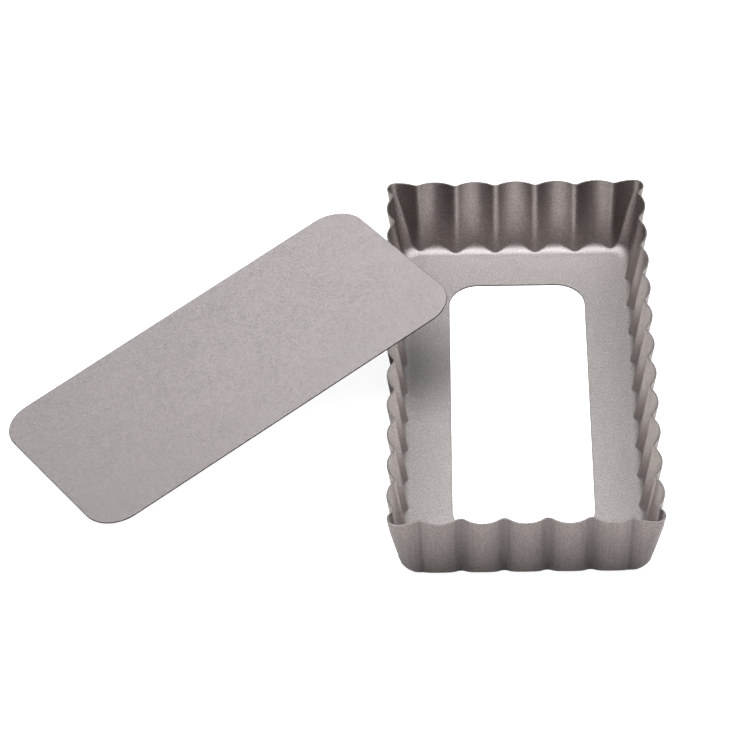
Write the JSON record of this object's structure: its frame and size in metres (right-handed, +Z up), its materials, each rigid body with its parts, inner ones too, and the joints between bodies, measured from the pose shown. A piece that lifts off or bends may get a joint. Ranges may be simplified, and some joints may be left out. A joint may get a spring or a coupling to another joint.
{
  "type": "loose base tart pan",
  "caption": "Rectangular fluted tart pan: a thin steel ring with a turned-in ledge, and a flat loose base leaning on its rim.",
  "frame": {"origin": "centre of the ring's footprint, on the table plane", "axes": "+Z up out of the pan, +Y along the length of the ring, +X across it away from the leaning base"},
  "size_m": [0.2601, 0.2002, 0.0397],
  "materials": {
    "ring_coating": "satin warm grey non-stick coating on pressed sheet steel, fine metallic grain",
    "base_coating": "satin warm grey non-stick coating on flat sheet steel, fine metallic grain"
  },
  "bodies": {
    "ring": {"fluted_ring": "ring_coating"},
    "base": {"loose_base": "base_coating"}
  },
  "joints": [
    {"name": "base_lift", "type": "slide", "parent": "ring", "child": "base", "axis": [0, 0, 1], "range_m": [0, 0.06]}
  ]
}
